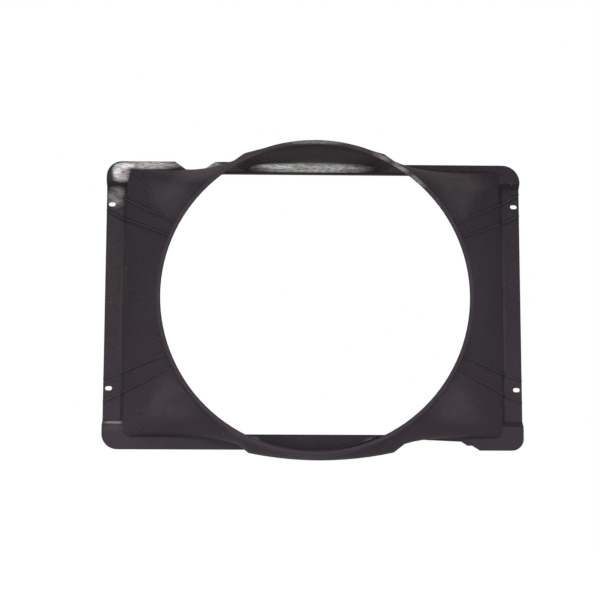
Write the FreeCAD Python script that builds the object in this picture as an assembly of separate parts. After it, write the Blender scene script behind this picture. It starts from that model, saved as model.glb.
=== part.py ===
import FreeCAD
import Part
import math
import os

# Radiator fan shroud, in millimetres.
# X runs across the radiator, Z is up, and -Y points from the radiator towards the fan.
# The origin is on the fan axis, in the plane of the faces that bolt to the radiator.

# Flange
flange_width = 700.0
flange_top = 242.0
flange_bottom = 243.6
wall = 3.0
left_corner_radius = 26.0
upper_right_corner_radius = 30.0
lower_right_corner_radius = 20.0
right_edge_start = 142.0
right_edge_drop = 2.8
side_strip = 28.0
top_strip = 14.0
bottom_strip = 21.0
strip_offset = 12.0
upper_step_height = 199.0
lower_step_height = -195.0
step_run = 9.0
step_bend = 2.5

# Opening over the radiator core, with its rim
opening_corner_radius = 10.0
opening_draft = 7.5
rim_setback = 3.0

# Bolt slots in the side strips
slot_length = 11.5
slot_width = 7.0
slot_edge_distance = 9.0
upper_slot_height = 170.0
lower_slot_height = -142.0

# Hood and collar
overall_depth = 120.0
throat_radius = 248.8
collar_taper = 5.7
shoulder_radius = throat_radius + collar_taper + wall
collar_length = 26.0
shoulder_depth = overall_depth - collar_length
lip_width = 7.2
lip_thickness = 4.0
lip_bevel = 1.2
inner_foot_depth = 13.5

# The hood's walls are made in this many narrow bands, so that their curves stay light to draw
hood_bands = 12

# The hood bridges the flange strip above and below the fan
bridge_inset = 2.0
bridge_half_width = 99.5
bridge_foot_half_width = 115.5
lower_bridge_radius = 244.6
lower_bridge_end_angle = 20.5
bridge_strip_half_width = 130.0

# Section where the bridges bulge furthest past the flange
belly_depth = 50.0
belly_rise = 3.2
belly_arch_radius = 510.0
lower_right_belly_arch_radius = 670.0
belly_half_width = 118.0
lower_left_belly_half_width = 105.0
lower_right_belly_half_width = 129.0
belly_side_run = 18.0
belly_side_drop = 14.0
belly_top_lean = 13.0
belly_side_inset = 35.5
belly_side_radius = 1140.0
belly_corner_drop = 77.0

# Directions from the fan axis in which the hood's corners end on the collar, in degrees
corner_angle = 37.0
corner_half_spread = 12.0

# Hollow bend between the lower strip and its bridge
cove_radius = 10.9
cove_reach = 7.1

# Ribs: side, height on the flange's outer edge, and direction at the collar in degrees
rib_thickness = 2.6
rib_height = 2.6
rib_lines = ((-1, 196.0, 28.1), (-1, 159.0, 23.0), (-1, -126.0, -21.2), (-1, -163.5, -26.3),
             (1, 190.5, 28.1), (1, 154.0, 22.7), (1, -126.0, -21.2), (1, -163.5, -26.3))

# Cut-outs in the long edges of the flange
upper_notch_centre = -201.0
upper_notch_floor_width = 27.0
upper_notch_mouth_width = 68.0
upper_notch_depth = 14.5
upper_notch_round = 8.0
lower_notch_left = 134.0
lower_notch_ramp = 17.0
lower_notch_deep_width = 22.0
lower_notch_depth = 22.6
lower_notch_shelf_run = 13.0
lower_notch_shelf_width = 60.0
lower_notch_shelf_start = 17.2
lower_notch_shelf_end = 14.6
lower_notch_step_run = 10.0
lower_notch_step_width = 8.0
lower_notch_step_depth = 8.0
lower_notch_right_ramp = 13.0
lower_notch_round = 4.0

# Rubber edge strips on the rear rim
seal_grip = 7.0
seal_wall = 1.5
seal_crush = 3.0
seal_end_gap = 12.0
seal_clearance = 0.1

# Joints in the boolean work closer than this are taken as one
weld_tolerance = 0.002


def vector(x, y, z):
    return FreeCAD.Vector(x, y, z)


def line(start, end):
    return Part.LineSegment(start, end).toShape()


def in_line(start, middle, end):
    chord = end - start
    return (middle - start).cross(chord).Length / chord.Length < weld_tolerance


def soft_edge(start, middle, end):
    """Cubic curve along the arc through three points, or a straight edge where they lie in line."""
    if in_line(start, middle, end):
        return line(start, end)
    arc = Part.Arc(start, middle, end)
    sweep = arc.LastParameter - arc.FirstParameter
    radius = (end - start).Length / (2 * math.sin(sweep / 2))
    reach = 4 / 3 * math.tan(sweep / 4) * radius
    leave = arc.tangent(arc.FirstParameter)[0] * reach
    arrive = arc.tangent(arc.LastParameter)[0] * reach
    curve = Part.BezierCurve()
    curve.setPoles([start, start + leave, end - arrive, end])
    return curve.toShape()


def unite(shapes):
    return shapes[0].multiFuse(shapes[1:], weld_tolerance).removeSplitter()


def slab(x_range, y_range, z_range):
    size = [high - low for low, high in (x_range, y_range, z_range)]
    return Part.makeBox(*size, vector(x_range[0], y_range[0], z_range[0]))


def prism(outline, y_range, rounds=None):
    """Solid between two depths from a list of (x, z) corners; rounds gives radii by corner number."""
    corners = [vector(x, y_range[0], z) for x, z in outline]
    face = Part.Face(Part.makePolygon(corners + [corners[0]]))
    solid = face.extrude(vector(0, y_range[1] - y_range[0], 0))
    for index, radius in (rounds or {}).items():
        x, z = outline[index]
        upright = []
        for edge in solid.Edges:
            box = edge.BoundBox
            off = max(abs(box.XMin - x), abs(box.XMax - x), abs(box.ZMin - z), abs(box.ZMax - z))
            if off < weld_tolerance:
                upright.append(edge)
        solid = solid.makeFillet(radius, upright)
    return solid


def turned(outline):
    """Solid turned about the fan axis from a list of (radius, y) corners."""
    corners = [vector(radius, y, 0) for radius, y in outline]
    face = Part.Face(Part.makePolygon(corners + [corners[0]]))
    return face.revolve(vector(0, 0, 0), vector(0, 1, 0), 360)


def circle_point(radius, angle):
    return (radius * math.cos(math.radians(angle)), radius * math.sin(math.radians(angle)))


def between(first, second, share):
    return tuple(a + (b - a) * share for a, b in zip(first, second))


def reach_of(up):
    """Distance from the fan axis to the flange's upper (1) or lower (-1) edge."""
    return flange_top if up > 0 else flange_bottom


def opening_side(y):
    """Distance from the fan axis to the outside of the opening's side wall at depth y."""
    return flange_width / 2 - side_strip + opening_draft * y / (strip_offset + wall)


def frame(y_rear, y_front, growth):
    """Rim of the radiator opening, behind the flange's raised strips; its side walls lean in."""
    radius = opening_corner_radius + growth
    rear, front = opening_side(y_rear) + growth, opening_side(y_front) + growth
    top = flange_top - top_strip + growth
    bottom = bottom_strip - flange_bottom - growth
    middle = rear / 2
    inset = radius * (1 - math.sqrt(0.5))
    pieces = [slab((-middle, middle), (y_front, y_rear), (bottom, top))]
    for side in (-1, 1):
        upper = [vector(side * (rear - radius), y_rear, top),
                 vector(side * (rear - inset), y_rear, top - inset),
                 vector(side * rear, y_rear, top - radius)]
        lower = [vector(side * rear, y_rear, bottom + radius),
                 vector(side * (rear - inset), y_rear, bottom + inset),
                 vector(side * (rear - radius), y_rear, bottom)]
        inner = [vector(0.0, y_rear, bottom), vector(0.0, y_rear, top)]
        edges = [soft_edge(*upper), line(upper[2], lower[0]), soft_edge(*lower), line(lower[2], inner[0]),
                 line(inner[0], inner[1]), line(inner[1], upper[0])]
        pieces.append(Part.Face(Part.Wire(edges)).extrude(vector(side * (front - rear), y_front - y_rear, 0)))
    return unite(pieces)


def upper_bridge_foot(growth):
    """Half of the upper bridge's foot: straight along the flange's edge, then in across the strip."""
    edge = flange_top + growth
    end = (bridge_half_width + growth, edge - bridge_inset)
    foot = (bridge_foot_half_width + growth, edge - top_strip)
    return [(0.0, end[1]), end, between(end, foot, 0.5), foot]


def lower_bridge_foot(growth):
    """Half of the lower bridge's foot: a plain arc from the flange's edge to the strip's inner edge."""
    radius = lower_bridge_radius + growth
    end = lower_bridge_end_angle
    foot = math.degrees(math.acos((flange_bottom - bottom_strip + growth) / radius))
    return [circle_point(radius, 90.0 - angle) for angle in (0.0, end, (end + foot) / 2, foot)]


def foot_points(bridge, y, growth):
    """Quarter of the hood's foot, from the middle of the bridge to the middle of the side."""
    foot = bridge[-1]
    top = foot[1]
    side = opening_side(y) + growth
    radius = opening_corner_radius + growth
    inset = radius * (1 - math.sqrt(0.5))
    return bridge + [between(foot, (side - radius, top), 0.5), (side - radius, top),
                     (side - inset, top - inset), (side, top - radius), (side, 0.0)]


def shoulder_points(growth):
    """The same nine points on the round shoulder."""
    bridge = math.degrees(math.acos(bridge_half_width / shoulder_radius))
    bridge_foot = math.degrees(math.acos(bridge_foot_half_width / shoulder_radius))
    corner_start = corner_angle + corner_half_spread
    corner_end = corner_angle - corner_half_spread
    angles = [90.0, bridge, (bridge + bridge_foot) / 2, bridge_foot, (bridge_foot + corner_start) / 2,
              corner_start, corner_angle, corner_end, 0.0]
    return [circle_point(shoulder_radius + growth, angle) for angle in angles]


def belly_points(half_width, arch_radius, growth):
    """The same nine points where the bridges bulge most; each moves out by growth, square to the wall."""
    crown = shoulder_radius + belly_rise
    side_reach = opening_side(0.0) - belly_side_inset
    corner_height = flange_top - belly_corner_drop
    end = (half_width, crown - half_width ** 2 / (2 * arch_radius))
    foot = (end[0] + belly_side_run, end[1] - belly_side_drop)
    side_lean = math.degrees(math.asin(corner_height / belly_side_radius))
    side_bow = belly_side_radius * (1 - math.cos(math.radians(side_lean)))
    corner_end = (side_reach - side_bow, corner_height)
    turn = math.radians(90.0 - belly_top_lean - side_lean) / 2
    top_fall = math.tan(math.radians(belly_top_lean))
    side_fall = math.tan(math.radians(side_lean))
    rise = foot[1] - corner_end[1] - top_fall * (corner_end[0] - foot[0])
    apex_height = corner_end[1] + rise / (1 - top_fall * side_fall)
    apex = (corner_end[0] - (apex_height - corner_end[1]) * side_fall, apex_height)
    reach = math.hypot(apex[0] - corner_end[0], apex[1] - corner_end[1])
    along_top = circle_point(1.0, -belly_top_lean)
    corner_start = (apex[0] - reach * along_top[0], apex[1] - reach * along_top[1])
    radius = reach / math.tan(turn)
    bisector = circle_point(1.0, (90.0 - belly_top_lean + side_lean) / 2)
    depth = radius / math.cos(turn) - radius
    corner = (apex[0] - depth * bisector[0], apex[1] - depth * bisector[1])
    across = math.degrees(math.atan2(belly_side_run, belly_side_drop))
    bend = (across + 90.0 - belly_top_lean) / 2
    places = [(0.0, crown), end, between(end, foot, 0.5), foot, between(foot, corner_start, 0.5),
              corner_start, corner, corner_end, (side_reach, 0.0)]
    square = [90.0, bend, across, bend, 90.0 - belly_top_lean, 90.0 - belly_top_lean,
              (90.0 - belly_top_lean + side_lean) / 2, side_lean, 0.0]
    steps = [circle_point(growth, angle) for angle in square]
    return [(x + step_x, z + step_z) for (x, z), (step_x, step_z) in zip(places, steps)]


def wire_of_quarters(y, upper_left, upper_right, lower_right, lower_left):
    """Closed section from four quarters of nine points each."""
    right_top = [vector(x, y, z) for x, z in upper_right]
    right_bottom = [vector(x, y, -z) for x, z in lower_right]
    left_bottom = [vector(-x, y, -z) for x, z in lower_left]
    left_top = [vector(-x, y, z) for x, z in upper_left]
    loop = right_top + right_bottom[-2::-1] + left_bottom[1:] + left_top[-2:0:-1]
    starts = range(1, len(loop), 2)
    edges = [soft_edge(loop[k], loop[(k + 1) % len(loop)], loop[(k + 2) % len(loop)]) for k in starts]
    return Part.Wire(edges)


def hood(y_foot, growth):
    upper = foot_points(upper_bridge_foot(growth), y_foot, growth)
    lower = foot_points(lower_bridge_foot(growth), y_foot, growth)
    belly = belly_points(belly_half_width, belly_arch_radius, growth)
    lower_left = belly_points(lower_left_belly_half_width, belly_arch_radius, growth)
    lower_right = belly_points(lower_right_belly_half_width, lower_right_belly_arch_radius, growth)
    shoulder = shoulder_points(growth)
    sections = [wire_of_quarters(y_foot, upper, upper, lower, lower),
                wire_of_quarters(-belly_depth, belly, belly, lower_right, lower_left),
                wire_of_quarters(-shoulder_depth, shoulder, shoulder, shoulder, shoulder)]
    return banded(Part.makeLoft(sections, True, False))


def banded(smooth):
    """The same form in narrow bands across its depth, each straight from edge to edge."""
    surfaces = [face.Surface for face in smooth.Faces if not isinstance(face.Surface, Part.Plane)]
    sections = []
    for station in range(hood_bands + 1):
        edges = []
        for surface in surfaces:
            first, last = surface.bounds()[2:]
            edges.append(surface.vIso(first + (last - first) * station / hood_bands).toShape())
        sections.append(Part.Wire(Part.__sortEdges__(edges)))
    return Part.makeLoft(sections, True, True)


def outer_hood(growth):
    return hood(-strip_offset - wall, growth)


def collar():
    """Solid cone that narrows towards the fan, with a lip round its front edge."""
    front = -overall_depth
    lip_rear = front + lip_thickness
    lip_outer = throat_radius + lip_width
    return turned([(0.0, -shoulder_depth), (shoulder_radius, -shoulder_depth),
                   (throat_radius + wall, lip_rear), (lip_outer, lip_rear), (lip_outer, front + lip_bevel),
                   (lip_outer - lip_bevel, front), (0.0, front)])


def bore():
    """Air way through the collar, bevelled at the lip."""
    front = -overall_depth
    return turned([(0.0, -shoulder_depth), (shoulder_radius - wall, -shoulder_depth),
                   (throat_radius, front + lip_bevel), (throat_radius + lip_bevel, front),
                   (throat_radius + lip_bevel, front - wall), (0.0, front - wall)])


def cove(outside):
    """Hollow bend between the lower strip and the inside of its bridge."""
    corner = lower_bridge_radius - wall
    strip_front = -strip_offset - wall
    lean = 2 * math.atan(cove_reach / cove_radius)
    centre = (corner - cove_reach, strip_front - cove_radius)
    bend = []
    for turn in (0.0, lean / 2, lean):
        x = centre[0] + cove_radius * math.sin(turn)
        bend.append(vector(x, centre[1] + cove_radius * math.cos(turn), 0))
    start, middle, end = bend
    buried = wall / 2
    back = [vector(end.x + buried, end.y, 0), vector(corner + buried, strip_front + buried, 0),
            vector(start.x, strip_front + buried, 0)]
    edges = [Part.Arc(start, middle, end).toShape(), Part.makePolygon([end] + back + [start])]
    ring = Part.Face(Part.Wire(edges)).revolve(vector(0, 0, 0), vector(0, 1, 0), 360)
    rim_inner = bottom_strip + wall - flange_bottom
    reach = slab((-bridge_strip_half_width, bridge_strip_half_width), (-belly_depth, 0.0),
                 (-shoulder_radius, rim_inner))
    return ring.common(reach).common(outside)


def upper_notch(y_range):
    edge = flange_top
    floor = edge - upper_notch_depth
    mouth = upper_notch_mouth_width / 2
    foot = upper_notch_floor_width / 2
    centre = upper_notch_centre
    outline = [(centre - mouth, edge + wall), (centre - mouth, edge), (centre - foot, floor),
               (centre + foot, floor), (centre + mouth, edge), (centre + mouth, edge + wall)]
    return prism(outline, y_range, {2: upper_notch_round, 3: upper_notch_round})


def lower_notch(y_range):
    """Deep end at the left, then a long sloping shelf and a small step down to the edge."""
    edge = -flange_bottom
    runs = [(0.0, -wall), (0.0, 0.0), (lower_notch_ramp, lower_notch_depth),
            (lower_notch_deep_width, lower_notch_depth), (lower_notch_shelf_run, lower_notch_shelf_start),
            (lower_notch_shelf_width, lower_notch_shelf_end), (lower_notch_step_run, lower_notch_step_depth),
            (lower_notch_step_width, lower_notch_step_depth), (lower_notch_right_ramp, 0.0), (0.0, -wall)]
    outline = []
    x = lower_notch_left
    for run, depth in runs:
        x += run
        outline.append((x, edge + depth))
    return prism(outline, y_range, {index: lower_notch_round for index in range(2, 8)})


def flange_blank(y_range):
    """Outline of the flange; the upper edge lies a little lower right of the bridge."""
    half_width = flange_width / 2
    right_top = flange_top - right_edge_drop
    outline = [(-half_width, flange_top), (right_edge_start, flange_top),
               (right_edge_start + right_edge_drop, right_top), (half_width, right_top),
               (half_width, -flange_bottom), (-half_width, -flange_bottom)]
    return prism(outline, y_range, {0: left_corner_radius, 3: upper_right_corner_radius,
                                    4: lower_right_corner_radius, 5: left_corner_radius})


def flange_sheet(growth):
    """Stepped flange: its side strips lie on the radiator and the rest stands off it."""
    front = -wall - growth
    slope = growth * step_run / (step_run + strip_offset)
    upper = upper_step_height
    lower = lower_step_height
    rear_line = [(flange_top, -strip_offset), (upper + step_run, -strip_offset), (upper, 0.0),
                 (lower, 0.0), (lower - step_run, -strip_offset), (-flange_bottom, -strip_offset)]
    front_line = [(-flange_bottom, front - strip_offset), (lower - step_run + slope, front - strip_offset),
                  (lower + slope, front), (upper - slope, front),
                  (upper + step_run - slope, front - strip_offset), (flange_top, front - strip_offset)]
    corners = [vector(-flange_width / 2, y, z) for z, y in rear_line + front_line]
    sheet = Part.Face(Part.makePolygon(corners + [corners[0]])).extrude(vector(flange_width, 0, 0))
    bends = [edge for edge in sheet.Edges if edge.BoundBox.XLength > flange_width / 2
             and -flange_bottom + wall < edge.BoundBox.ZMin < flange_top - wall]
    sheet = sheet.makeFillet(step_bend, bends)
    y_range = (front - strip_offset - wall, wall)
    return sheet.common(flange_blank(y_range)).cut(upper_notch(y_range)).cut(lower_notch(y_range))


def slot(x, z):
    """Oblong bolt slot, through the side strip."""
    radius = slot_width / 2
    half_run = (slot_length - slot_width) / 2
    depth = 3 * wall
    ends = [Part.makeCylinder(radius, depth, vector(x + shift, wall, z), vector(0, -1, 0))
            for shift in (-half_run, half_run)]
    middle = slab((x - half_run, x + half_run), (wall - depth, wall), (z - radius, z + radius))
    return unite(ends + [middle])


def bolt_slots():
    x = flange_width / 2 - slot_edge_distance
    return [slot(side * x, z) for side in (-1, 1) for z in (upper_slot_height, lower_slot_height)]


def rib_plate(side, base_height, angle):
    """Upright plate from the collar to the flange's outer edge, before it is cut to the rib's height."""
    ring_x, ring_z = circle_point(shoulder_radius, angle)
    start = vector(side * ring_x, 0, ring_z)
    end = vector(side * flange_width / 2, 0, base_height)
    along = (end - start).normalize()
    across = vector(-along.z, 0, along.x) * (rib_thickness / 2)
    reach = along * rib_thickness
    outline = [start - reach + across, end + reach + across, end + reach - across, start - reach - across]
    return prism([(point.x, point.z) for point in outline], (-shoulder_depth, -wall / 2))


def ribs():
    envelope = unite([outer_hood(rib_height), frame(0.0, -strip_offset - wall, rib_height),
                      flange_sheet(rib_height)])
    return [rib_plate(*rib).common(envelope) for rib in rib_lines]


def strip_under_bridge(up, strip):
    """Flange strip and rear-turned rim where the hood stands over them."""
    edge = reach_of(up)
    rim_outer = edge - strip
    rim_inner = rim_outer - wall
    x_range = (-bridge_strip_half_width, bridge_strip_half_width)
    strip_z = sorted((up * rim_inner, up * edge))
    rim_z = sorted((up * rim_inner, up * rim_outer))
    return [slab(x_range, (-strip_offset - wall, -strip_offset), strip_z),
            slab(x_range, (-strip_offset, -rim_setback), rim_z)]


def rim_relief(up, strip):
    """Sets the long rims back from the side strips' plane, to make room for the edge strips."""
    half_length = flange_width / 2 - side_strip - opening_corner_radius
    rim_outer = reach_of(up) - strip
    z_range = sorted((up * (rim_outer - 2 * wall), up * (rim_outer + wall)))
    return slab((-half_length, half_length), (-rim_setback, wall), z_range)


def shroud_moulding():
    y_strip = -strip_offset - wall
    outside = unite([flange_sheet(0.0), frame(0.0, y_strip, 0.0), outer_hood(0.0), collar()])
    ribbed = unite([outside] + ribs())
    air_way = unite([frame(wall, -inner_foot_depth, -wall), hood(-inner_foot_depth, -wall), bore()])
    hollow = ribbed.cut(air_way)
    for tool in [rim_relief(1, top_strip), rim_relief(-1, bottom_strip)] + bolt_slots():
        hollow = hollow.cut(tool)
    strips = strip_under_bridge(1, top_strip) + strip_under_bridge(-1, bottom_strip)
    return unite([hollow, cove(outside)] + strips)


def edge_seal(up, strip):
    """Rubber strip of U section, pushed over the free rear rim of the radiator opening."""
    rim_outer = reach_of(up) - strip
    rim_inner = rim_outer - wall
    half_length = flange_width / 2 - side_strip - opening_corner_radius - seal_end_gap
    x_range = (-half_length, half_length)
    groove_low = rim_inner - seal_clearance
    groove_high = rim_outer + seal_clearance
    y_front = -rim_setback - seal_grip
    body_z = sorted((up * (groove_low - seal_wall), up * (groove_high + seal_wall)))
    groove_z = sorted((up * groove_low, up * groove_high))
    body = slab(x_range, (y_front, seal_crush), body_z)
    bulb_edges = [edge for edge in body.Edges
                  if edge.BoundBox.XLength > half_length and edge.BoundBox.YMin > 0]
    body = body.makeFillet(seal_crush - seal_clearance, bulb_edges)
    groove_x = (-half_length - wall, half_length + wall)
    return body.cut(slab(groove_x, (y_front - wall, seal_clearance - rim_setback), groove_z))


def main():
    os.makedirs("parts", exist_ok=True)
    pieces = {"shroud_moulding": shroud_moulding(), "upper_edge_seal": edge_seal(1, top_strip),
              "lower_edge_seal": edge_seal(-1, bottom_strip)}
    for name, shape in pieces.items():
        box = shape.BoundBox
        print(name, "valid", shape.isValid(), "solids", len(shape.Solids), "volume %.0f" % shape.Volume,
              "faces", len(shape.Faces), "box %.1f %.1f %.1f" % (box.XLength, box.YLength, box.ZLength))
        shape.exportStep("parts/" + name + ".step")


main()
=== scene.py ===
import math

import bpy
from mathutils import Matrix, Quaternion, Vector


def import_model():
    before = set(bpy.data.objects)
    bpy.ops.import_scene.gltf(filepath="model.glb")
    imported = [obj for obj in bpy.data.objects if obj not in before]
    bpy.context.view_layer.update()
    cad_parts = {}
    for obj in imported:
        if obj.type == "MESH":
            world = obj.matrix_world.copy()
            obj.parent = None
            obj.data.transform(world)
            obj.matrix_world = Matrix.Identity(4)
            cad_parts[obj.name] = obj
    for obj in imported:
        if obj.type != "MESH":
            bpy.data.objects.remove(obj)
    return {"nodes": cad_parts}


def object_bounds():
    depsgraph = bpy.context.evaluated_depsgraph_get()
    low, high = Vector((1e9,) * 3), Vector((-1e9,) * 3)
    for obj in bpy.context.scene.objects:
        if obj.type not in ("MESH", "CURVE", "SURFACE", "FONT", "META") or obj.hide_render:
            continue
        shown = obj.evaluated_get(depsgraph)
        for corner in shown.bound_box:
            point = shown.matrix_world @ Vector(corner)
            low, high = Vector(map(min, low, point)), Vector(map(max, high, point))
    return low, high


# Radiator fan shroud. X runs across the radiator, Z is up and the fan is at -Y. Lengths are in metres.

# Camera, fitted to the flange, slots, collar and lip in the photograph
CAMERA_PLACE = (-0.074, -2.478, -0.3233)
CAMERA_YAW = math.radians(1.197)
CAMERA_PITCH = math.radians(7.626)
CAMERA_ROLL = math.radians(0.18)
PHOTO_SIDE = 600
FOCAL_PIXELS = 1483.2
SENSOR_WIDTH = 36.0

# Stage
WHITE = (1.0, 1.0, 1.0, 1.0)
FLOOR_DROP = 0.30
FLOOR_SIZE = 30.0
FLOOR_COLOUR = (0.80, 0.80, 0.80, 1.0)
FLOOR_LIFT = 0.62
ROOM_COLOUR = (1.0, 0.95, 1.0, 1.0)
ROOM_LIGHT = 0.50
BACKDROP_LIGHT = 1.0

# Lamps: name, place, point aimed at, width and height, watts and colour
LAMPS = (
    ("window", (-0.20, -4.6, 0.82), (-0.1, 0.0, 0.1), (1.30, 1.10), 28.0, (1.0, 1.0, 1.0)),
    ("low_fill", (-0.30, -2.2, -0.50), (0.0, 0.0, 0.1), (1.60, 0.10), 8.0, (1.0, 0.95, 1.0)),
    ("floor_bounce", (0.0, -0.9, -0.54), (0.0, -0.2, 0.1), (1.8, 0.4), 5.0, (1.0, 0.95, 1.0)),
    ("left_side", (-2.6, -1.3, 0.1), (0.0, 0.0, 0.0), (1.2, 1.2), 9.0, (1.0, 0.96, 1.0)),
    ("right_side", (2.6, -1.3, 0.1), (0.0, 0.0, 0.0), (1.2, 1.2), 4.0, (1.0, 0.96, 1.0)),
    ("overhead", (-0.2, -1.6, 2.6), (0.0, 0.0, 0.0), (2.0, 1.4), 14.0, (1.0, 0.97, 1.0)),
)

# Colours, linear
PLASTIC = (0.0180, 0.0142, 0.0176)
# Paler tone, at random and towards the bottom
PLASTIC_PALE = (0.0350, 0.0277, 0.0340)
GRAIN_LIGHT = (0.0420, 0.0335, 0.0430)
# Rubbed paler, and also a painted highlight, on thin edges and the lip
EDGE_WORN_AND_LIT = (0.0850, 0.0760, 0.0820)
# Painted shade: near black put at the feet of ribs and steps
PAINTED_SHADE = (0.0050, 0.0040, 0.0048)
# Painted light: a pale chalky tone for highlights and lifted shade
PAINTED_LIGHT = (0.0800, 0.0680, 0.0620)
SPECK = (0.1900, 0.1600, 0.1500)
# Painted glare: pale colours for glints and reflections, a pink one and the brightest
PAINTED_GLARE = (0.5800, 0.6200, 0.5500)
PAINTED_GLARE_PINK = (0.6200, 0.5400, 0.5400)
PAINTED_GLARE_BRIGHTEST = (0.8200, 0.8500, 0.8000)
RUBBER = (0.014, 0.013, 0.014)
RUBBER_WORN = (0.045, 0.041, 0.041)

# Gloss of the plastic and of the glossy coat over the painted glare
PLASTIC_IOR = 1.48
PLASTIC_SPECULAR = 0.18
COAT_ROUGHNESS = 0.16

# Softening of the modelled edges in the shading
EDGE_ROUNDING = 0.0008

# Depth within which a thin or outer edge counts as rubbed and is given a painted highlight
RUB_AND_HIGHLIGHT_REACH = 0.0020

# Reach from the foot of a rib or step within which painted shade darkens the plastic
SHADE_REACH = 0.0045

# Rays for each look at an edge or a corner
EDGE_SAMPLES = 6

# Noise: scale per metre, detail, roughness, stretch and offset
EVEN = (1.0, 1.0, 1.0)
NO_OFFSET = (0.0, 0.0, 0.0)
BROAD_NOISE = (5.0, 3.0, 0.55, EVEN, NO_OFFSET)
BLOTCH_NOISE = (22.0, 5.0, 0.60, EVEN, NO_OFFSET)
GRAIN_NOISE = (430.0, 3.0, 0.70, EVEN, NO_OFFSET)
FLECK_NOISE = (260.0, 2.0, 0.50, EVEN, (3.0, 1.0, 2.0))
WRINKLE_NOISE = (420.0, 5.0, 0.70, (0.22, 1.0, 1.0), (1.0, 4.0, 2.0))
RUBBER_NOISE = (60.0, 5.0, 0.65, (0.5, 1.0, 1.0), NO_OFFSET)

# Ranges: first and last value read, then the results at those two
PALENESS_BY_HEIGHT = (0.20, -0.24, 0.10, 0.95)
PALENESS_BY_NOISE = (0.35, 0.70, -0.18, 0.18)
GRAIN_BY_NOISE = (0.47, 0.68, 0.0, 1.0)
SHADE_BY_OPENNESS = (0.96, 0.60, 0.0, 0.9)
SHADE_BY_HEIGHT = (0.12, -0.10, 1.0, 0.25)
SHADE_BY_SIDE = (0.10, 0.30, 1.0, 0.45)
RUB_AND_HIGHLIGHT_BY_DEPTH = (0.75, 0.40, 0.0, 1.0)
RUB_AND_HIGHLIGHT_BY_NOISE = (0.35, 0.60, 0.30, 0.70)
LIP_RUB_AND_HIGHLIGHT_BY_PLACE = (-0.1175, -0.1198, 0.0, 1.0)
LIP_RUB_AND_HIGHLIGHT_BY_NOISE = (0.35, 0.60, 0.08, 0.35)
LIP_HIGHLIGHT_BY_HEIGHT = (-0.12, 0.15, 0.0, 1.0)
PAINTED_LIGHT_BY_NOISE = (0.30, 0.60, 0.4, 1.0)
SPECKS_BY_NOISE = (0.735, 0.775, 0.0, 0.8)
GLARE_BY_WRINKLE = (0.40, 0.60, 0.25, 1.0)
GLARE_PINK_BY_NOISE = (0.52, 0.62, 0.0, 1.0)
BRIGHTEST_GLARE_BY_WRINKLE = (0.40, 0.54, 0.3, 1.0)
COAT_BY_GLARE_SPOTS = (0.05, 0.55, 0.0, 1.0)
ROUGHNESS_BY_NOISE = (0.30, 0.70, 0.44, 0.58)
ENGINE_SIDE_BY_NORMAL = (-0.25, -0.05, 1.0, 0.0)
RUBBER_WEAR_BY_NOISE = (0.50, 0.75, 0.0, 1.0)
RUBBER_ROUGHNESS_BY_NOISE = (0.30, 0.70, 0.55, 0.80)

# Bumps: strength, and depth of the relief
GRAIN_BUMP = (0.35, 0.0003)
BLOTCH_BUMP = (0.35, 0.002)
WRINKLE_BUMP = (0.9, 0.0022)
RUBBER_BUMP = (0.5, 0.001)

# Share of a patch's reach over which it fades out
PATCH_SOFTNESS = 0.6

# Painted glare, wrinkled, under a glossy coat: centre, reach along X, Y and Z, and strength
PAINTED_GLARE_PLACES = (
    ((-0.3255, -0.0150, 0.2220), (0.018, 0.005, 0.024), 0.8),
    ((-0.2800, -0.0150, 0.2355), (0.060, 0.005, 0.009), 0.9),
    ((-0.3340, -0.0030, 0.1840), (0.019, 0.005, 0.023), 0.35),
    ((-0.1770, -0.0150, 0.2365), (0.026, 0.005, 0.008), 0.8),
    ((-0.0060, -0.0150, 0.2320), (0.112, 0.005, 0.013), 1.0),
    ((-0.0940, -0.0450, -0.2240), (0.020, 0.030, 0.011), 0.7),
    ((0.0900, -0.0450, -0.2250), (0.022, 0.030, 0.011), 0.6),
    ((-0.3300, -0.0080, -0.1995), (0.022, 0.008, 0.005), 0.6),
    ((0.1100, -0.1195, 0.2315), (0.020, 0.004, 0.017), 0.25),
    ((0.1370, -0.1195, 0.2100), (0.020, 0.004, 0.017), 0.30),
    ((0.1640, -0.1195, 0.1870), (0.020, 0.004, 0.017), 0.25),
    ((0.0000, -0.1195, 0.2540), (0.090, 0.004, 0.007), 0.25),
)

# Where the painted glare is brightest, given in the same way
BRIGHTEST_GLARE_PLACES = (
    ((-0.3320, -0.0150, 0.2250), (0.009, 0.005, 0.014), 1.0),
    ((-0.3180, -0.0150, 0.2340), (0.018, 0.005, 0.006), 1.0),
    ((-0.0600, -0.0150, 0.2345), (0.042, 0.005, 0.005), 1.0),
    ((0.0350, -0.0150, 0.2330), (0.050, 0.005, 0.004), 0.5),
)

# Painted light, chalky in tone: painted highlights on the hood's ends, and painted light beside its walls
# that lifts the shade there, given in the same way
PAINTED_LIGHT_PLACES = (
    ((-0.175, -0.055, 0.210), (0.075, 0.060, 0.024), 0.75),
    ((0.235, -0.050, 0.204), (0.080, 0.060, 0.024), 0.45),
    ((-0.3185, -0.008, 0.0), (0.008, 0.013, 0.240), 0.45),
    ((0.3185, -0.008, 0.0), (0.008, 0.013, 0.240), 0.45),
    ((-0.330, -0.012, -0.206), (0.026, 0.010, 0.010), 0.5),
    ((0.000, -0.035, 0.250), (0.190, 0.045, 0.026), 0.35),
    ((-0.338, -0.003, 0.080), (0.022, 0.010, 0.150), 0.12),
)


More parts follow.
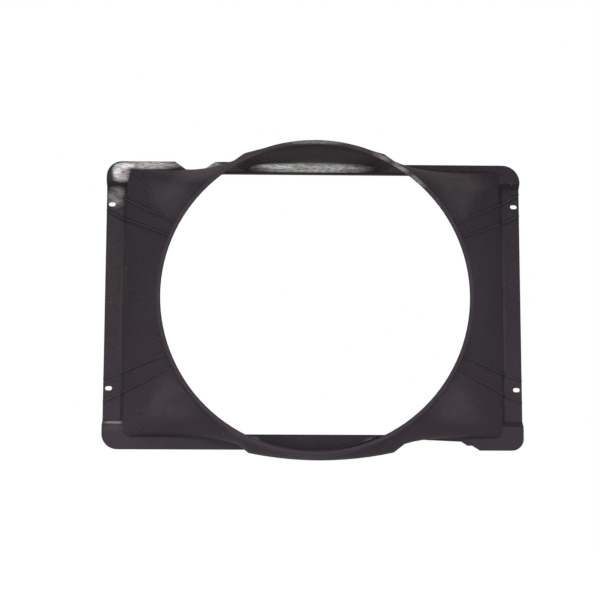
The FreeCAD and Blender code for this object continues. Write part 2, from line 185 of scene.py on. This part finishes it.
class Graph:
    """Small helper that adds and joins the nodes of one material."""

    def __init__(self, name):
        self.material = bpy.data.materials.new(name)
        self.material.use_nodes = True
        self.tree = self.material.node_tree
        self.shader = self.tree.nodes["Principled BSDF"]

    def add(self, kind, inputs=None, **settings):
        node = self.tree.nodes.new(kind)
        for key, value in settings.items():
            setattr(node, key, value)
        for key, value in (inputs or {}).items():
            self.feed(node.inputs[key], value)
        return node

    def feed(self, socket, value):
        if isinstance(value, bpy.types.NodeSocket):
            self.tree.links.new(value, socket)
        else:
            socket.default_value = value

    def place(self):
        """Position on the object, in metres."""
        return self.add("ShaderNodeTexCoord").outputs["Object"]

    def noise(self, place, pattern):
        scale, detail, roughness, stretch, offset = pattern
        mapped = self.add("ShaderNodeMapping", {"Vector": place, "Scale": stretch, "Location": offset})
        node = self.add("ShaderNodeTexNoise", {"Vector": mapped.outputs[0], "Scale": scale,
                                               "Detail": detail, "Roughness": roughness})
        return node.outputs["Fac"]

    def remap(self, value, span):
        low, high, new_low, new_high = span
        node = self.add("ShaderNodeMapRange", {"Value": value, "From Min": low, "From Max": high,
                                               "To Min": new_low, "To Max": new_high})
        node.clamp = True
        return node.outputs["Result"]

    def math(self, operation, first, second):
        return self.add("ShaderNodeMath", {0: first, 1: second}, operation=operation).outputs[0]

    def times(self, first, second):
        return self.math("MULTIPLY", first, second)

    def mix(self, share, first, second):
        node = self.add("ShaderNodeMix", data_type="RGBA")
        self.feed(node.inputs["Factor"], share)
        self.feed(node.inputs["A"], first if isinstance(first, bpy.types.NodeSocket) else (*first, 1.0))
        self.feed(node.inputs["B"], second if isinstance(second, bpy.types.NodeSocket) else (*second, 1.0))
        return node.outputs["Result"]

    def openness(self, reach, inside=False):
        """1 where nothing of the object lies within reach of the face, in front of it or behind it."""
        node = self.add("ShaderNodeAmbientOcclusion", {"Distance": reach}, samples=EDGE_SAMPLES)
        node.inside = inside
        return node.outputs["AO"]

    def bump(self, height, bump, normal=None):
        strength, distance = bump
        inputs = {"Height": height, "Strength": strength, "Distance": distance}
        if normal is not None:
            inputs["Normal"] = normal
        return self.add("ShaderNodeBump", inputs).outputs[0]

    def spot(self, place, centre, reach):
        """1 around a place on the object, fading to 0 at its reach along X, Y and Z."""
        away = self.add("ShaderNodeVectorMath", {0: place, 1: centre}, operation="SUBTRACT").outputs[0]
        scaled = self.add("ShaderNodeVectorMath", {0: away, 1: reach}, operation="DIVIDE").outputs[0]
        length = self.add("ShaderNodeVectorMath", {0: scaled}, operation="LENGTH").outputs["Value"]
        return self.remap(length, (1.0 - PATCH_SOFTNESS, 1.0, 1.0, 0.0))

    def patches(self, place, places):
        """Largest of the soft spots at the given places, on the faces that look towards the engine."""
        total = 0.0
        for centre, reach, strength in places:
            total = self.math("MAXIMUM", self.times(self.spot(place, centre, reach), strength), total)
        normal = self.add("ShaderNodeNewGeometry").outputs["True Normal"]
        depth = self.add("ShaderNodeSeparateXYZ", {"Vector": normal}).outputs["Y"]
        return self.times(total, self.remap(depth, ENGINE_SIDE_BY_NORMAL))


def moulded_plastic():
    """Charcoal moulding: grain, paler tone at random and towards the bottom, painted shade at the feet of
    ribs and steps, rubbed edge wear with a painted highlight, painted light, specks and painted glare
    under a glossy coat.
    """
    graph = Graph("moulded_plastic")
    place = graph.place()
    broad = graph.noise(place, BROAD_NOISE)
    blotch = graph.noise(place, BLOTCH_NOISE)
    grain = graph.noise(place, GRAIN_NOISE)
    fleck = graph.noise(place, FLECK_NOISE)
    wrinkle = graph.noise(place, WRINKLE_NOISE)
    across, depth, height = graph.add("ShaderNodeSeparateXYZ", {"Vector": place}).outputs

    # Paler at random and towards the bottom
    paleness = graph.math("ADD", graph.remap(height, PALENESS_BY_HEIGHT), graph.remap(broad, PALENESS_BY_NOISE))
    colour = graph.mix(paleness, PLASTIC, PLASTIC_PALE)
    colour = graph.mix(graph.remap(grain, GRAIN_BY_NOISE), colour, GRAIN_LIGHT)

    # Painted shade: darker at the feet of ribs and steps, less towards the bottom and the right
    painted_shade = graph.times(graph.remap(graph.openness(SHADE_REACH), SHADE_BY_OPENNESS),
                       graph.remap(height, SHADE_BY_HEIGHT))
    painted_shade = graph.times(painted_shade, graph.remap(across, SHADE_BY_SIDE))
    colour = graph.mix(painted_shade, colour, PAINTED_SHADE)

    # Thin edges and rib crests rubbed paler, also as a painted highlight
    edges = graph.times(graph.remap(graph.openness(RUB_AND_HIGHLIGHT_REACH, inside=True), RUB_AND_HIGHLIGHT_BY_DEPTH),
                        graph.remap(blotch, RUB_AND_HIGHLIGHT_BY_NOISE))
    # Lip front face rubbed paler in patches, with a painted highlight that grows towards the top
    lip = graph.times(graph.remap(depth, LIP_RUB_AND_HIGHLIGHT_BY_PLACE), graph.remap(blotch, LIP_RUB_AND_HIGHLIGHT_BY_NOISE))
    lip = graph.times(lip, graph.remap(height, LIP_HIGHLIGHT_BY_HEIGHT))
    colour = graph.mix(graph.math("MAXIMUM", edges, lip), colour, EDGE_WORN_AND_LIT)

    # Painted light: pale patches for highlights and for light lifting the shade
    painted_light = graph.times(graph.patches(place, PAINTED_LIGHT_PLACES), graph.remap(blotch, PAINTED_LIGHT_BY_NOISE))
    colour = graph.mix(painted_light, colour, PAINTED_LIGHT)
    colour = graph.mix(graph.remap(fleck, SPECKS_BY_NOISE), colour, SPECK)

    # Painted glare: pale wrinkled colour for glints and reflections; a glossy coat is laid on the same
    # spots
    glare_spots = graph.patches(place, PAINTED_GLARE_PLACES)
    glare = graph.times(glare_spots, graph.remap(wrinkle, GLARE_BY_WRINKLE))
    glare_colour = graph.mix(graph.remap(blotch, GLARE_PINK_BY_NOISE), PAINTED_GLARE, PAINTED_GLARE_PINK)
    colour = graph.mix(glare, colour, glare_colour)
    brightest_glare = graph.times(graph.patches(place, BRIGHTEST_GLARE_PLACES), graph.remap(wrinkle, BRIGHTEST_GLARE_BY_WRINKLE))
    colour = graph.mix(brightest_glare, colour, PAINTED_GLARE_BRIGHTEST)

    shader = graph.shader.inputs
    graph.feed(shader["Base Color"], colour)
    graph.feed(shader["Roughness"], graph.remap(blotch, ROUGHNESS_BY_NOISE))
    graph.feed(shader["Coat Weight"], graph.remap(glare_spots, COAT_BY_GLARE_SPOTS))
    shader["IOR"].default_value = PLASTIC_IOR
    shader["Specular IOR Level"].default_value = PLASTIC_SPECULAR
    shader["Coat Roughness"].default_value = COAT_ROUGHNESS
    rounded = graph.add("ShaderNodeBevel", {"Radius": EDGE_ROUNDING}, samples=EDGE_SAMPLES).outputs[0]
    grained = graph.bump(grain, GRAIN_BUMP, rounded)
    graph.feed(shader["Normal"], graph.bump(blotch, BLOTCH_BUMP, grained))
    graph.feed(shader["Coat Normal"], graph.bump(wrinkle, WRINKLE_BUMP, rounded))
    return graph.material


def edge_rubber():
    """Dull black rubber, worn paler in streaks along the strip."""
    graph = Graph("edge_rubber")
    wear = graph.noise(graph.place(), RUBBER_NOISE)
    colour = graph.mix(graph.remap(wear, RUBBER_WEAR_BY_NOISE), RUBBER, RUBBER_WORN)
    graph.feed(graph.shader.inputs["Base Color"], colour)
    graph.feed(graph.shader.inputs["Roughness"], graph.remap(wear, RUBBER_ROUGHNESS_BY_NOISE))
    graph.feed(graph.shader.inputs["Normal"], graph.bump(wear, RUBBER_BUMP))
    return graph.material


def dress(node, material):
    node.data.materials.clear()
    node.data.materials.append(material)


def white_ground():
    """Pale floor that takes shadows; the camera sees it a little brighter, as a white sweep."""
    graph = Graph("stage_ground")
    nodes = graph.tree.nodes
    nodes.remove(graph.shader)
    path = graph.add("ShaderNodeLightPath")
    diffuse = graph.add("ShaderNodeBsdfDiffuse", {"Color": FLOOR_COLOUR})
    lift = graph.times(path.outputs["Is Camera Ray"], FLOOR_LIFT)
    shine = graph.add("ShaderNodeEmission", {"Color": WHITE, "Strength": lift})
    both = graph.add("ShaderNodeAddShader", {0: diffuse.outputs[0], 1: shine.outputs[0]})
    output = next(node for node in nodes if node.type == "OUTPUT_MATERIAL")
    graph.tree.links.new(both.outputs[0], output.inputs["Surface"])
    return graph.material


def floor(height):
    half = FLOOR_SIZE / 2
    mesh = bpy.data.meshes.new("floor")
    square = [(-half, -half, height), (half, -half, height), (half, half, height), (-half, half, height)]
    mesh.from_pydata(square, [], [(0, 1, 2, 3)])
    piece = bpy.data.objects.new("floor", mesh)
    bpy.context.scene.collection.objects.link(piece)
    mesh.materials.append(white_ground())


def background(tree, colour, strength):
    node = tree.nodes.new("ShaderNodeBackground")
    node.inputs["Color"].default_value = colour
    node.inputs["Strength"].default_value = strength
    return node


def world():
    """White behind the object; a mid grey room as light and in reflections."""
    studio = bpy.data.worlds.new("studio")
    bpy.context.scene.world = studio
    studio.use_nodes = True
    tree = studio.node_tree
    tree.nodes.clear()
    path = tree.nodes.new("ShaderNodeLightPath")
    room = background(tree, ROOM_COLOUR, ROOM_LIGHT)
    backdrop = background(tree, WHITE, BACKDROP_LIGHT)
    blend = tree.nodes.new("ShaderNodeMixShader")
    output = tree.nodes.new("ShaderNodeOutputWorld")
    tree.links.new(path.outputs["Is Camera Ray"], blend.inputs["Fac"])
    tree.links.new(room.outputs[0], blend.inputs[1])
    tree.links.new(backdrop.outputs[0], blend.inputs[2])
    tree.links.new(blend.outputs[0], output.inputs["Surface"])


def lamp(name, place, target, size, power, colour):
    """Area lamp that lights the object and isn't itself seen by the camera."""
    light = bpy.data.lights.new(name, "AREA")
    light.shape = "RECTANGLE"
    light.size, light.size_y = size
    light.energy = power
    light.color = colour
    piece = bpy.data.objects.new(name, light)
    piece.location = place
    piece.rotation_mode = "QUATERNION"
    piece.rotation_quaternion = (Vector(target) - Vector(place)).to_track_quat("-Z", "Y")
    piece.visible_camera = False
    bpy.context.scene.collection.objects.link(piece)


def camera():
    data = bpy.data.cameras.new("camera")
    data.sensor_width = SENSOR_WIDTH
    data.lens = FOCAL_PIXELS / PHOTO_SIDE * SENSOR_WIDTH
    piece = bpy.data.objects.new("camera", data)
    piece.location = CAMERA_PLACE
    level = math.cos(CAMERA_PITCH)
    aim = Vector((math.sin(CAMERA_YAW) * level, math.cos(CAMERA_YAW) * level, math.sin(CAMERA_PITCH)))
    piece.rotation_mode = "QUATERNION"
    piece.rotation_quaternion = aim.to_track_quat("-Z", "Y") @ Quaternion((0.0, 0.0, 1.0), CAMERA_ROLL)
    bpy.context.scene.collection.objects.link(piece)
    bpy.context.scene.camera = piece


def corners(box):
    """The box's two corners as plain lists of numbers."""
    return [[float(value) for value in corner] for corner in box]


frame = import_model()
cad_box = corners(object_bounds())

plastic = moulded_plastic()
rubber = edge_rubber()
dress(frame["nodes"]["shroud_moulding"], plastic)
for seal in ("upper_edge_seal", "lower_edge_seal"):
    dress(frame["nodes"][seal], rubber)

floor(cad_box[0][2] - FLOOR_DROP)
world()
for settings in LAMPS:
    lamp(*settings)
camera()

bpy.context.scene.view_settings.view_transform = "Standard"
